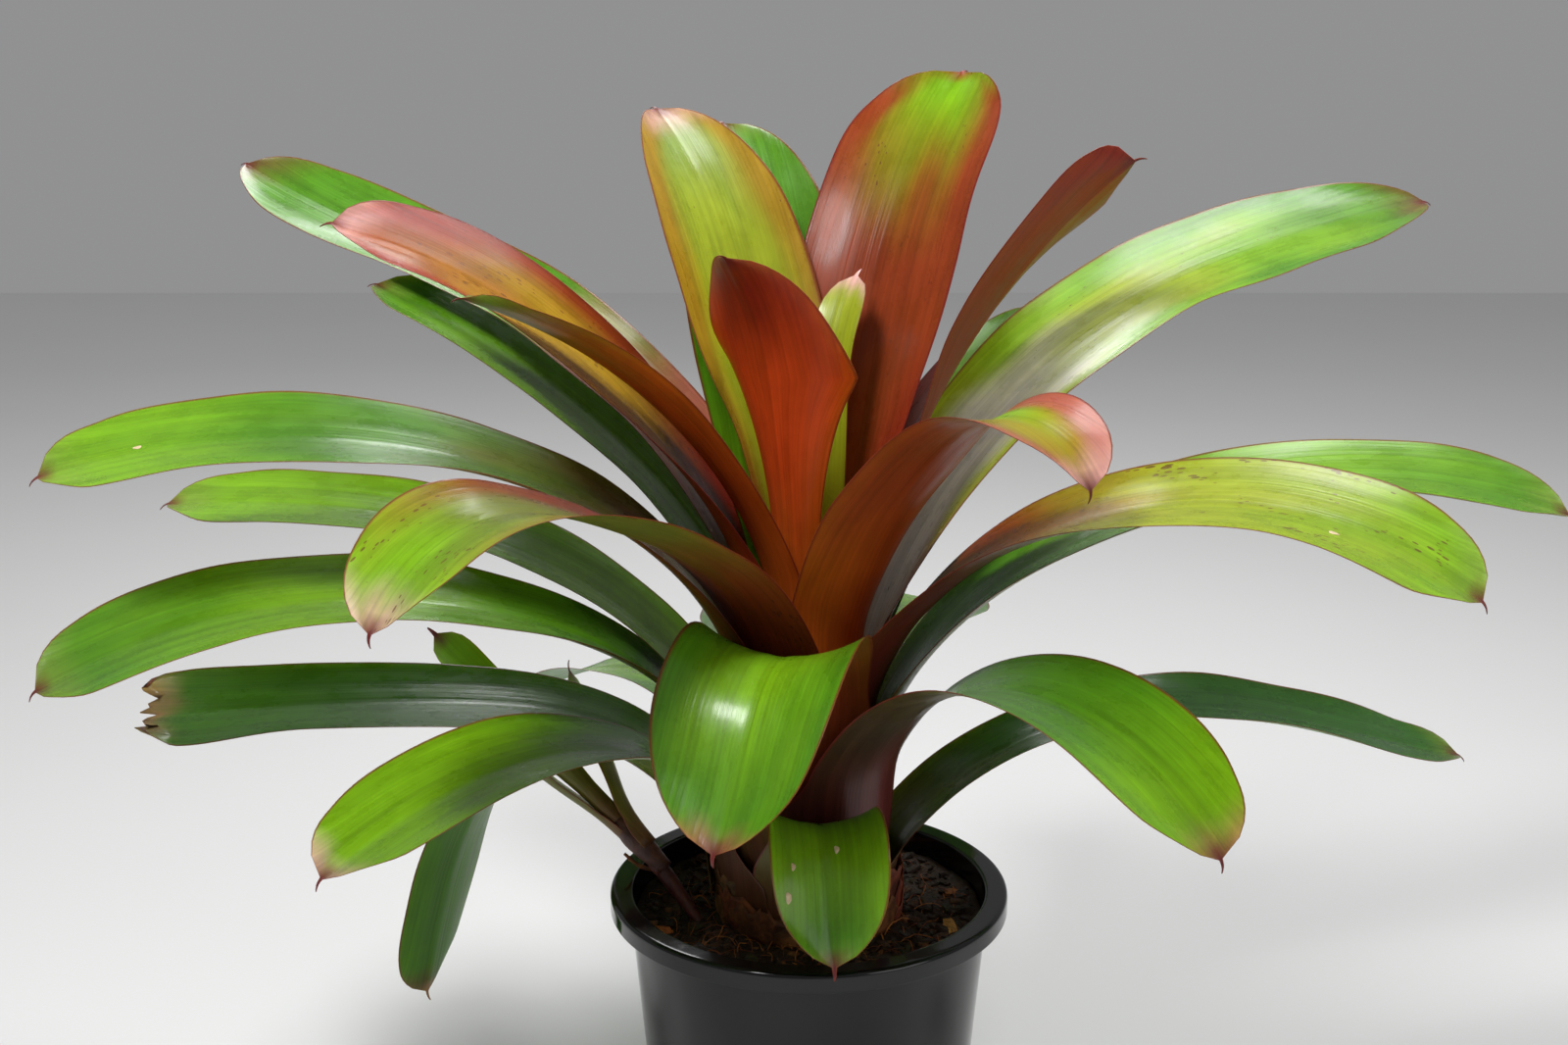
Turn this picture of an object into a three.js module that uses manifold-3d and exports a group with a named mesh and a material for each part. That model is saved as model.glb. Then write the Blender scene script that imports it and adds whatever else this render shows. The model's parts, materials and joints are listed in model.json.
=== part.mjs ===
// Potted bromeliad: a broad-leaved rosette with one side shoot, in a nursery pot.
// Millimetres, +Z up. The origin is the middle of the pot's underside and the
// front is -Y. Leaves are numbered from the lowest and outermost to the youngest.

import * as THREE from 'three';
import Module from 'manifold-3d';

const wasm = await Module();
wasm.setup();

// Pot
const POT_HEIGHT = 190;
const RIM_RADIUS = 100;
const RIM_DEPTH = 10;
const RIM_STEP = 9;
const POT_WALL = 2.4;
const POT_TAPER = 17;
const FOOT_HEIGHT = 4;
const RING_INSET = 12;
const CHANNEL_WIDTH = 22;
const DRAIN_COUNT = 4;
const DRAIN_RADIUS = 6;
const DRAIN_INSET = 7;

// Soil and stem
const SOIL_DROP = 13;
const SOIL_BUMP = 1.6;
const ROOT_DEPTH = 60;
const LEAF_START = 4;
const LEAF_PITCH = 2.6;
const HEART_RADIUS = 8;

// Leaves
const LEAF_SCALE = 1;
const LEAF_THICK = 0.9;
const LEAF_GAP = 0.5;
const LEAF_EDGE = 0.5;
const LEAF_STEPS = 13;
const LEAF_ACROSS = 5;
const LEAF_WRAP = 52;
const WRAP_INSIDE = 34;
const WRAP_OUTSIDE = 78;
const TURN_BEFORE = 12;
const TURN_AFTER = 18;
const CLEAR = 0.3;

// Leaf colours
const GREEN = 0x4f8a24;
const BRONZE = 0x8a6a30;
const RED = 0x9a3a22;

const DEG = Math.PI / 180;
const POT_BODY = RIM_RADIUS - RIM_STEP;
const POT_FOOT = POT_BODY - POT_TAPER;
const FOOT_RIDGE = POT_FOOT - RING_INSET;
const FOOT_PAD = FOOT_RIDGE - CHANNEL_WIDTH;
const DRAIN_CIRCLE = FOOT_RIDGE - DRAIN_INSET;
const SOIL_TOP = POT_HEIGHT - SOIL_DROP;
const CROWN_FOOT = POT_HEIGHT - LEAF_START;
const LEAF_LAYER = LEAF_THICK + LEAF_GAP;

// One line a leaf, in the order they grow up the stem: compass angle, whole
// length, width, length of the upright base, then how steeply the blade runs
// at four even steps, in degrees above level. Roll tips the blade about its
// own line, cup is how far it is folded, tip is how long the point is, foot is
// how wide the base is and open is how soon it stops wrapping the stem.
const LEAVES = [
  { az: 148, len: 348, wide: 60, stand: 15, run: [56, -16, -64, -78] },
  { az: 275, len: 144, wide: 58, stand: 40, run: [82, 0, -58, -62], cup: 85, foot: 0.5 },
  { az: 188, len: 334, wide: 66, stand: 24, run: [78, 16, 1, -1], roll: 14, cup: 50, tip: 0.7 },
  { az: 122, len: 290, wide: 54, stand: 16, run: [56, 4, -16, -30], cup: 50, foot: 0.6 },
  { az: 10, len: 338, wide: 62, stand: 8, run: [54, 14, -13, -16], roll: -6 },
  { az: 218, len: 278, wide: 80, stand: 14, run: [78, 26, -6, -30], cup: 55, tip: 0.8, foot: 0.5 },
  { az: 98, len: 300, wide: 60, stand: 20, run: [66, 14, -22, -40], cup: 50 },
  { az: 314, len: 295, wide: 84, stand: 50, run: [70, 26, -14, -48], tip: 0.8 },
  { az: 72, len: 320, wide: 62, stand: 20, run: [64, 10, -16, -35], cup: 50 },
  { az: 196, len: 405, wide: 74, stand: 20, run: [80, 28, 0, -28], roll: 17, tip: 0.8 },
  { az: 260, len: 245, wide: 88, stand: 85, run: [84, 10, -54, -56], sway: -20, cup: 90, tip: 0.9,
    foot: 0.6 },
  { az: 172, len: 376, wide: 68, stand: 26, run: [78, 34, 8, -6], roll: 10, cup: 55, foot: 0.72 },
  { az: 356, len: 428, wide: 76, stand: 44, run: [74, 32, 7, -20], roll: -10, foot: 0.72 },
  { az: 80, len: 350, wide: 70, stand: 50, run: [80, 34, 6, -16], cup: 50, foot: 0.7 },
  { az: 190, len: 450, wide: 76, stand: 66, run: [78, 32, 5, -16], foot: 0.7, roll: 16, tip: 0.8 },
  { az: 336, len: 400, wide: 84, stand: 56, run: [76, 34, 3, -36], roll: -13, tip: 0.8 },
  { az: 228, len: 368, wide: 78, stand: 70, run: [80, 33, 13, -58], foot: 0.75, tone: BRONZE },
  { az: 48, len: 300, wide: 60, stand: 50, run: [80, 52, 38, 24], cup: 55 },
  { az: 155, len: 360, wide: 70, stand: 58, run: [82, 46, 29, 14], roll: 6 },
  { az: 25, len: 489, wide: 84, stand: 45, run: [80, 46, 17, 6], roll: -20, tip: 1.8 },
  { az: 306, len: 310, wide: 72, stand: 86, sway: 13, run: [74, 54, 30, -66], cup: 70, foot: 0.55,
    tone: BRONZE },
  { az: 147, len: 500, wide: 68, stand: 58, run: [84, 38, 16, 20], roll: 16, tip: 1.4 },
  { az: 12, len: 346, wide: 72, stand: 66, run: [80, 69, 53, 36], roll: 42, cup: 70, tip: 0.6,
    foot: 0.7, tone: BRONZE },
  { az: 184, len: 370, wide: 74, stand: 50, run: [84, 58, 39, 14], roll: 22, cup: 70, tone: RED },
  { az: 108, len: 342, wide: 84, stand: 52, run: [80, 70, 62, 34], cup: 50, foot: 0.7 },
  { az: 58, len: 370, wide: 88, stand: 50, run: [80, 76, 60, 32], tip: 0.8, tone: RED },
  { az: 205, len: 312, wide: 52, stand: 70, run: [84, 58, 38, 20], roll: -10, cup: 80, tone: BRONZE },
  { az: 127, len: 342, wide: 84, stand: 70, run: [86, 72, 63, 30], cup: 70, tip: 1.3 },
  { az: 232, len: 263, wide: 94, stand: 70, run: [86, 82, 76, 44], cup: 74, tip: 1.4, open: 0.55, foot: 0.78,
    tone: RED },
  { az: 60, len: 236, wide: 26, stand: 60, run: [84, 86, 84, 42], cup: 90 },
];

function smooth(from, to, x) {
  const t = Math.min(Math.max((x - from) / (to - from), 0), 1);
  return t * t * (3 - 2 * t);
}

function mix(a, b, t) {
  return a + (b - a) * t;
}

// A smooth curve through evenly spaced values.
function through(values, t) {
  const last = values.length - 1;
  const x = Math.min(Math.max(t, 0), 1) * last;
  const i = Math.min(Math.floor(x), last - 1);
  const f = x - i;
  const b = values[i];
  const c = values[i + 1];
  const a = i > 0 ? values[i - 1] : 2 * b - c;
  const d = i < last - 1 ? values[i + 2] : 2 * c - b;
  const bend = 2 * a - 5 * b + 4 * c - d + f * (3 * (b - c) + d - a);
  return b + 0.5 * f * (c - a + f * bend);
}

// Where the leaf of this order leaves the crown.
function crownStart(order) {
  const base = LEAF_SCALE * (HEART_RADIUS + LEAF_LAYER * (LEAVES.length - order));
  return { base, foot: CROWN_FOOT + LEAF_SCALE * LEAF_PITCH * order };
}

// Points along a leaf's middle line with the two directions across it. Near
// its foot the leaf is wrapped round the stem, then it opens into a folded strap.
function leafLine(leaf, start) {
  const len = leaf.len * LEAF_SCALE;
  const stand = leaf.stand * LEAF_SCALE;
  const wide = leaf.wide * LEAF_SCALE;
  const sway = (leaf.sway ?? 0) * DEG;
  const roll = (leaf.roll ?? 0) * DEG;
  const cup = (leaf.cup ?? 60) * DEG;
  const tip = (leaf.tip ?? 1) * wide;
  const fine = 8;
  const count = LEAF_STEPS * fine;
  const at = new THREE.Vector3(
    start.base * Math.cos(leaf.az * DEG),
    start.base * Math.sin(leaf.az * DEG),
    start.foot,
  );
  const rows = [];
  for (let k = 0; k <= count; k += 1) {
    const t = k / count;
    const s = t * len;
    const blade = through(leaf.run, (s - stand) / (len - stand));
    const turned = smooth(stand - TURN_BEFORE * LEAF_SCALE, stand + TURN_AFTER * LEAF_SCALE, s);
    const rise = mix(86, blade, turned) * DEG;
    const head = leaf.az * DEG + sway * t * t;
    const along = new THREE.Vector3(
      Math.cos(rise) * Math.cos(head),
      Math.cos(rise) * Math.sin(head),
      Math.sin(rise),
    );
    if (k > 0) {
      at.addScaledVector(along, len / count);
    }
    const side = new THREE.Vector3(Math.sin(head), -Math.cos(head), 0);
    const up = new THREE.Vector3().crossVectors(side, along);
    const turn = roll * t ** 1.3;
    const side2 = side.clone().multiplyScalar(Math.cos(turn)).addScaledVector(up, Math.sin(turn));
    const up2 = up.clone().multiplyScalar(Math.cos(turn)).addScaledVector(side, -Math.sin(turn));
    const point = Math.min(Math.max((s - len + tip) / tip, 0), 1);
    const foot = (leaf.foot ?? 0.9) - 0.82;
    const strap = 0.82 + 0.18 * smooth(0.28, 0.62, t) + foot * (1 - smooth(0, 0.28, t));
    const width = Math.max(wide * strap * (1 - point ** 2.2), 1.6);
    const inward = new THREE.Vector3(-Math.cos(head), -Math.sin(head), 0);
    const radius = Math.max(Math.hypot(at.x, at.y), 5);
    const spread = LEAF_SCALE * (leaf.open ?? 1);
    const wrap = 1 - smooth(WRAP_INSIDE * spread, WRAP_OUTSIDE * spread, radius);
    const fold = cup * (1 - 0.45 * t) / Math.max(width, 1);
    const curl = wrap / radius + (1 - wrap) * fold;
    const top = inward.multiplyScalar(wrap).addScaledVector(up2, 1 - wrap).normalize();
    const across = side.clone().multiplyScalar(wrap).addScaledVector(side2, 1 - wrap).normalize();
    if (k % fine === 0) {
      rows.push({ at: at.clone(), top, across, width, curl, t });
    }
  }
  return rows;
}

// A leaf as one closed ring of points for each step along it.
function leafRings(leaf, start) {
  const rings = [];
  for (const row of leafLine(leaf, start)) {
    const half = Math.min(0.5 * row.width * row.curl, LEAF_WRAP * DEG);
    const over = [];
    const under = [];
    for (let j = 0; j < LEAF_ACROSS; j += 1) {
      const u = 2 * j / (LEAF_ACROSS - 1) - 1;
      const angle = u * half;
      const mid = row.at.clone()
        .addScaledVector(row.across, Math.sin(angle) / row.curl)
        .addScaledVector(row.top, (1 - Math.cos(angle)) / row.curl);
      const out = row.top.clone().multiplyScalar(Math.cos(angle));
      out.addScaledVector(row.across, -Math.sin(angle));
      const thick = mix(LEAF_THICK, LEAF_EDGE, u * u) * (1 - 0.25 * row.t);
      over.push(mid.clone().addScaledVector(out, 0.5 * thick));
      under.push(mid.clone().addScaledVector(out, -0.5 * thick));
    }
    rings.push([...over, ...under.reverse()]);
  }
  return rings;
}

// Radius of the pot's outside at a height, without its rim.
function potRadius(z) {
  return POT_BODY - POT_TAPER * (1 - z / POT_HEIGHT);
}

// Side shoot, dry twig and bark. The shoot starts at the crown's side, and the
// twig and the bark lie a set distance in from the soil's edge.
const CROWN_SIDE = crownStart(0).base;
const SOIL_EDGE = potRadius(SOIL_TOP) - POT_WALL - CLEAR;
const SHOOT_FOOT = [-CROWN_SIDE - 3, -14, SOIL_TOP - 5];
const SHOOT_BEND = [-CROWN_SIDE - 16, -6, SOIL_TOP + 13];
const SHOOT_NODE = [-CROWN_SIDE - 32, 2, SOIL_TOP + 31];
const SHOOT_AZ = 152;
const SHOOT_LEAN = 52;
const SHOOT_LEAVES = [
  { az: 200, len: 96, wide: 22, stand: 16, run: [70, 66, 70, 74], cup: 90 },
  { az: 30, len: 128, wide: 20, stand: 22, run: [76, 80, 84, 80], cup: 90 },
  { az: 120, len: 142, wide: 20, stand: 28, run: [82, 84, 84, 80], cup: 100 },
];
const SHOOT_START = 5;
const SHOOT_LAYER = 1.4;
const SHOOT_PITCH = 5;

// Bark pieces lying half sunk in the soil: compass angle, distance in from the
// soil's edge, size, heading and lean.
const BARK = [
  { az: 202, inset: 8, size: [13, 8, 4.5], turn: 20, lean: 12 },
  { az: 220, inset: 7, size: [10, 7, 4], turn: 75, lean: -14 },
  { az: 248, inset: 8, size: [9, 6, 4], turn: 130, lean: 10 },
  { az: 290, inset: 11, size: [12, 7, 4], turn: 160, lean: -8 },
  { az: 315, inset: 10, size: [9, 7, 4.5], turn: 40, lean: 15 },
  { az: 340, inset: 13, size: [15, 8, 4.5], turn: 100, lean: -10 },
  { az: 11, inset: 12, size: [10, 7, 4], turn: 10, lean: 12 },
  { az: 59, inset: 10, size: [12, 8, 4], turn: 60, lean: -12 },
  { az: 109, inset: 9, size: [10, 7, 4], turn: 110, lean: 9 },
];

// The twig's two sticks: points as distance in from the soil's edge at the
// left, place along Y, and height over the soil.
const TWIG = [
  [[21, 16, -7], [17, 12, 7], [7, 24, 19], [-5, 30, 33]],
  [[16, 14, 9], [11, 10, 15], [1, 12, 17], [-7, 14, 23]],
];

function mesh(name, geometry, colour, roughness) {
  const material = new THREE.MeshStandardMaterial({ color: colour, roughness });
  const part = new THREE.Mesh(geometry, material);
  part.name = name;
  return part;
}

// Drops the triangles that have no area and shares the points that coincide.
function weld(geometry) {
  const place = geometry.getAttribute('position');
  const index = geometry.getIndex();
  const count = index ? index.count : place.count;
  const known = new Map();
  const points = [];
  const corners = [];
  const pointOf = (i) => {
    const v = index ? index.getX(i) : i;
    const xyz = [place.getX(v), place.getY(v), place.getZ(v)];
    const key = xyz.map((c) => Math.round(c * 1e4)).join(',');
    if (!known.has(key)) {
      known.set(key, points.length / 3);
      points.push(...xyz);
    }
    return known.get(key);
  };
  for (let i = 0; i < count; i += 3) {
    const [a, b, c] = [pointOf(i), pointOf(i + 1), pointOf(i + 2)];
    if (a !== b && b !== c && c !== a) {
      corners.push(a, b, c);
    }
  }
  const clean = new THREE.BufferGeometry();
  clean.setAttribute('position', new THREE.Float32BufferAttribute(points, 3));
  clean.setIndex(corners);
  clean.computeVertexNormals();
  return clean;
}

function toSolid(geometry) {
  const clean = weld(geometry);
  return new wasm.Manifold(new wasm.Mesh({
    numProp: 3,
    vertProperties: new Float32Array(clean.getAttribute('position').array),
    triVerts: new Uint32Array(clean.getIndex().array),
  }));
}

function fromSolid(solid) {
  const made = solid.getMesh();
  const points = [];
  for (let i = 0; i < made.vertProperties.length; i += made.numProp) {
    points.push(...made.vertProperties.slice(i, i + 3));
  }
  const geometry = new THREE.BufferGeometry();
  geometry.setAttribute('position', new THREE.Float32BufferAttribute(points, 3));
  geometry.setIndex(Array.from(made.triVerts));
  geometry.computeVertexNormals();
  return geometry;
}

// Closed body through rings of equal length. The ends are closed with strips
// between the first and second half of a ring, which suits a folded leaf.
function ringSolid(rings) {
  const around = rings[0].length;
  const points = rings.flat().flatMap((p) => [p.x, p.y, p.z]);
  const corners = [];
  for (let i = 0; i < rings.length - 1; i += 1) {
    for (let j = 0; j < around; j += 1) {
      const a = i * around + j;
      const b = i * around + (j + 1) % around;
      corners.push(a, b, b + around, a, b + around, a + around);
    }
  }
  const last = (rings.length - 1) * around;
  for (let j = 0; j < around / 2 - 1; j += 1) {
    const far = around - 1 - j;
    corners.push(j, far, far - 1, j, far - 1, j + 1);
    corners.push(last + j, last + far - 1, last + far, last + j, last + j + 1, last + far - 1);
  }
  const geometry = new THREE.BufferGeometry();
  geometry.setAttribute('position', new THREE.Float32BufferAttribute(points, 3));
  geometry.setIndex(corners);
  geometry.computeVertexNormals();
  return geometry;
}

function revolve(profile, segments) {
  const points = profile.map(([r, z]) => new THREE.Vector2(Math.max(r, 0), z));
  return new THREE.LatheGeometry(points, segments).rotateX(Math.PI / 2);
}

function makePot() {
  const w = POT_WALL;
  const top = POT_HEIGHT;
  const foot = POT_FOOT;
  const pad = FOOT_PAD;
  const ridge = FOOT_RIDGE;
  const slope = FOOT_HEIGHT;
  const profile = [
    [0, 0], [pad, 0], [pad + slope, slope], [ridge, slope], [ridge + slope, 0],
    [foot, 0], [potRadius(top - w), top - w], [RIM_RADIUS - w, top - w],
    [RIM_RADIUS - w, top - RIM_DEPTH], [RIM_RADIUS, top - RIM_DEPTH],
    [RIM_RADIUS, top - 2], [RIM_RADIUS - 0.6, top - 0.6], [RIM_RADIUS - 2, top],
    [potRadius(top) - w + 1, top], [potRadius(top) - w, top - 1],
    [foot - w, w], [ridge + slope + 0.4 * w, w], [ridge + 0.4 * w, slope + w],
    [pad + slope - 0.4 * w, slope + w], [pad - 0.4 * w, w], [0, w],
  ];
  let body = toSolid(revolve(profile, 48));
  for (let i = 0; i < DRAIN_COUNT; i += 1) {
    const turn = (i + 0.5) * 2 * Math.PI / DRAIN_COUNT;
    const hole = new THREE.CylinderGeometry(DRAIN_RADIUS, DRAIN_RADIUS, 30, 16);
    hole.rotateX(Math.PI / 2);
    hole.translate(DRAIN_CIRCLE * Math.cos(turn), DRAIN_CIRCLE * Math.sin(turn), 0);
    body = body.subtract(toSolid(hole));
  }
  return fromSolid(body);
}

// The short stem that carries the leaves, with the crown's foot in the soil.
function crownGeometry(grow) {
  const heart = crownStart(LEAVES.length);
  const flat = Math.cos(LEAF_WRAP * DEG / (LEAF_ACROSS - 1));
  const inset = 0.5 * LEAF_THICK + CLEAR - grow;
  const atFoot = crownStart(0).base * flat - inset;
  const top = heart.foot;
  const profile = [
    [0, SOIL_TOP - ROOT_DEPTH - grow], [10 + grow, SOIL_TOP - ROOT_DEPTH - grow],
    [13 + grow, SOIL_TOP - 30 - grow], [0.45 * atFoot, SOIL_TOP - 14 - grow],
    [0.86 * atFoot, SOIL_TOP - 5 - grow], [atFoot, SOIL_TOP + 1], [atFoot, CROWN_FOOT - 2],
    [heart.base * flat - inset, top], [0, top + 2 + grow],
  ];
  return revolve(profile, 40);
}

function soilBump(x, y) {
  const slow = Math.sin(x * 0.11 + 1.3) * Math.cos(y * 0.13 - 0.6);
  const quick = Math.sin(x * 0.31 - y * 0.22) * Math.sin(y * 0.29 + x * 0.17 + 2);
  return SOIL_BUMP * (0.6 * slow + 0.5 * quick);
}

function barkGeometry(bark, grow) {
  const [long, wide, thick] = bark.size.map((c) => 0.5 * c + grow);
  const outline = new THREE.Shape([
    new THREE.Vector2(-long, -0.5 * wide), new THREE.Vector2(-0.3 * long, -wide),
    new THREE.Vector2(0.8 * long, -0.8 * wide), new THREE.Vector2(long, 0.3 * wide),
    new THREE.Vector2(0.2 * long, wide), new THREE.Vector2(-0.8 * long, 0.7 * wide),
  ]);
  const chip = new THREE.ExtrudeGeometry(outline, { depth: 2 * thick, bevelEnabled: false });
  chip.translate(0, 0, -thick);
  chip.rotateX(bark.lean * DEG).rotateY(bark.lean * 0.7 * DEG).rotateZ(bark.turn * DEG);
  const x = (SOIL_EDGE - bark.inset) * Math.cos(bark.az * DEG);
  const y = (SOIL_EDGE - bark.inset) * Math.sin(bark.az * DEG);
  return chip.translate(x, y, SOIL_TOP + soilBump(x, y) + 0.4);
}

// Round body along a curve, thinner towards its foot.
function stolonGeometry(grow) {
  const curve = new THREE.QuadraticBezierCurve3(
    new THREE.Vector3(...SHOOT_FOOT),
    new THREE.Vector3(...SHOOT_BEND),
    new THREE.Vector3(...SHOOT_NODE),
  );
  const frames = curve.computeFrenetFrames(8, false);
  const rings = [];
  for (let i = 0; i <= 8; i += 1) {
    const t = i / 8;
    const radius = mix(2.6, SHOOT_START - 0.5 * LEAF_THICK - CLEAR, smooth(0, 0.9, t)) + grow;
    const centre = curve.getPoint(t);
    const ring = [];
    for (let j = 0; j < 12; j += 1) {
      const angle = 2 * Math.PI * j / 12;
      ring.push(centre.clone()
        .addScaledVector(frames.normals[i], radius * Math.cos(angle))
        .addScaledVector(frames.binormals[i], radius * Math.sin(angle)));
    }
    rings.push(ring);
  }
  return ringSolid(rings);
}

// Thin dry twig with one fork, standing in the soil.
function makeTwig(grow) {
  let twig = null;
  for (const points of TWIG) {
    const path = points.map((p) => new THREE.Vector3(p[0] - SOIL_EDGE, p[1], SOIL_TOP + p[2]));
    const curve = new THREE.CatmullRomCurve3(path);
    const round = new THREE.Shape().absarc(0, 0, 1.3 + grow, 0, 2 * Math.PI);
    const options = { steps: 8, extrudePath: curve, curveSegments: 6, bevelEnabled: false };
    const stick = toSolid(new THREE.ExtrudeGeometry(round, options));
    twig = twig ? twig.add(stick) : stick;
  }
  return twig;
}

function makeSoil() {
  const w = POT_WALL + CLEAR;
  const foot = POT_FOOT;
  const pad = FOOT_PAD;
  const ridge = FOOT_RIDGE;
  const slope = FOOT_HEIGHT;
  const steps = [0, 0.56, 0.67, 0.78, 0.89, 1];
  const profile = [
    [0, w], [pad - 0.4 * w, w], [pad + slope - 0.4 * w, slope + w],
    [ridge + 0.4 * w, slope + w], [ridge + slope + 0.4 * w, w], [foot - w, w],
    ...steps.reverse().map((f) => [f * SOIL_EDGE, SOIL_TOP]),
  ];
  const bulk = revolve(profile, 40);
  const place = bulk.getAttribute('position');
  for (let i = 0; i < place.count; i += 1) {
    const x = place.getX(i);
    const y = place.getY(i);
    if (place.getZ(i) > SOIL_TOP - 0.01) {
      place.setZ(i, SOIL_TOP + soilBump(x, y));
    }
  }
  let soil = toSolid(bulk).subtract(toSolid(crownGeometry(CLEAR)));
  soil = soil.subtract(toSolid(stolonGeometry(CLEAR)));
  soil = soil.subtract(makeTwig(CLEAR));
  for (const bark of BARK) {
    soil = soil.subtract(toSolid(barkGeometry(bark, CLEAR)));
  }
  return fromSolid(soil);
}

// The side shoot's leaves are built upright, then leaned over on its stem.
function shootLeaf(leaf, order) {
  const rings = [];
  const base = SHOOT_START + SHOOT_LAYER * (SHOOT_LEAVES.length - 1 - order);
  for (const ring of leafRings(leaf, { base, foot: SHOOT_PITCH * (order - 1) })) {
    rings.push(ring.map((p) => p
      .applyAxisAngle(new THREE.Vector3(0, 1, 0), SHOOT_LEAN * DEG)
      .applyAxisAngle(new THREE.Vector3(0, 0, 1), SHOOT_AZ * DEG)
      .add(new THREE.Vector3(...SHOOT_NODE))));
  }
  return ringSolid(rings);
}

const plant = new THREE.Group();
plant.name = 'potted_bromeliad';
plant.add(mesh('pot', makePot(), 0x0b0b0c, 0.25));
plant.add(mesh('soil', makeSoil(), 0x2a1c14, 0.95));
plant.add(mesh('stem', weld(crownGeometry(0)), 0x6b5a3a, 0.8));
LEAVES.forEach((leaf, i) => {
  const name = 'leaf_' + String(i + 1).padStart(2, '0');
  const blade = ringSolid(leafRings(leaf, crownStart(i + 1)));
  plant.add(mesh(name, blade, leaf.tone ?? GREEN, 0.4));
});
plant.add(mesh('shoot_stem', stolonGeometry(0), 0x5a3a34, 0.6));
SHOOT_LEAVES.forEach((leaf, i) => {
  plant.add(mesh('shoot_leaf_' + (i + 1), shootLeaf(leaf, i + 1), 0x5f7a30, 0.45));
});
plant.add(mesh('dry_twig', fromSolid(makeTwig(0)), 0x7a6248, 0.85));
BARK.forEach((bark, i) => {
  plant.add(mesh('bark_' + (i + 1), weld(barkGeometry(bark, 0)), 0x7c5430, 0.9));
});

export default plant;
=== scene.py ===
"""Looks of a potted bromeliad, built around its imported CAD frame.

Sizes in the tables are millimetres, as in the CAD source; MM turns them into
metres. Leaves are numbered from the lowest and outermost to the youngest.
"""

import json
import math
import random

import bpy
import numpy as np
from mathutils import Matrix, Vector, noise


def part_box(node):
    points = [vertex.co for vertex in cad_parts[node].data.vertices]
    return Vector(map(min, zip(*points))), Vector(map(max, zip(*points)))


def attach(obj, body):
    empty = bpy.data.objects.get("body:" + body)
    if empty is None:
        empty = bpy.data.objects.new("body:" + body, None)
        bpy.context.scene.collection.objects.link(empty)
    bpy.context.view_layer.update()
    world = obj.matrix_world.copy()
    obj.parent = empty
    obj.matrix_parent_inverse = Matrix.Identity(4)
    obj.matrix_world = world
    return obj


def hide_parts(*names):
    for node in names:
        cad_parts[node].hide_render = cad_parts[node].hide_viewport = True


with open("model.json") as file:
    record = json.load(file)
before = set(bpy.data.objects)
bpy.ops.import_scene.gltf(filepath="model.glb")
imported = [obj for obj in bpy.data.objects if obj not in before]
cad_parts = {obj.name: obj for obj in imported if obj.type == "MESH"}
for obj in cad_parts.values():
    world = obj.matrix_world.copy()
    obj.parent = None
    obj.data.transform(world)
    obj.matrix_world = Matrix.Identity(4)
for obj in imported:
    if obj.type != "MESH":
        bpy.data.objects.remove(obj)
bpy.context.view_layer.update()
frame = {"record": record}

MM = 0.001
DEG = math.pi / 180

# Pot and soil, as in the CAD source
POT_HEIGHT = 190
RIM_RADIUS = 100
RIM_DEPTH = 10
RIM_STEP = 9
POT_WALL = 2.4
CLEAR = 0.3
POT_TAPER = 17
FOOT_HEIGHT = 4
RING_INSET = 12
CHANNEL_WIDTH = 22
DRAIN_COUNT = 4
DRAIN_RADIUS = 6
DRAIN_CIRCLE = 55
SOIL_TOP = 177
CROWN_FOOT = 186

# Rounded corners of the moulded pot
FOOT_ROUND = 1.2
STEP_ROUND = 1.5
RIM_ROUND = 0.6
LIP_ROUND = 2.4
INSIDE_ROUND = 1.4

# Crown and leaf form, as in the CAD source
LEAF_PITCH = 2.6
HEART_RADIUS = 8
LEAF_LAYER = 1.4
LEAF_WRAP = 52
WRAP_INSIDE = 34
WRAP_OUTSIDE = 78
TURN_BEFORE = 12
TURN_AFTER = 18
SHEATH_RISE = 86
STRAP_SHARE = 0.82
FOLD_EASE = 0.45

# Fine leaf surface
LEAF_THICK = 0.85
LEAF_EDGE = 0.35
ROW_LENGTH = 4.5
MARGIN_ROUND = 0.25
TIP_WIDTH = 2.2
TIP_POWER = 2.6
TIP_ROUND = 0.6
TIP_HOOD = 34
MUCRO_LENGTH = 6
MUCRO_STEPS = 5
GROOVE_DEPTH = 0.7
RIB_HEIGHT = 0.16
RELIEF_WIDTH = 40
WAVE_HEIGHT = 3.2
TORN_NARROW = 0.45
TORN_FROM = 0.93
TORN_DEPTH = 13
SHEATH_FLARE = 0.5
SHEATH_WRAP = 74
ACROSS = (-1, -0.97, -0.88, -0.75, -0.6, -0.45, -0.3, -0.14, -0.05,
          0.05, 0.14, 0.3, 0.45, 0.6, 0.75, 0.88, 0.97, 1)

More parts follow.
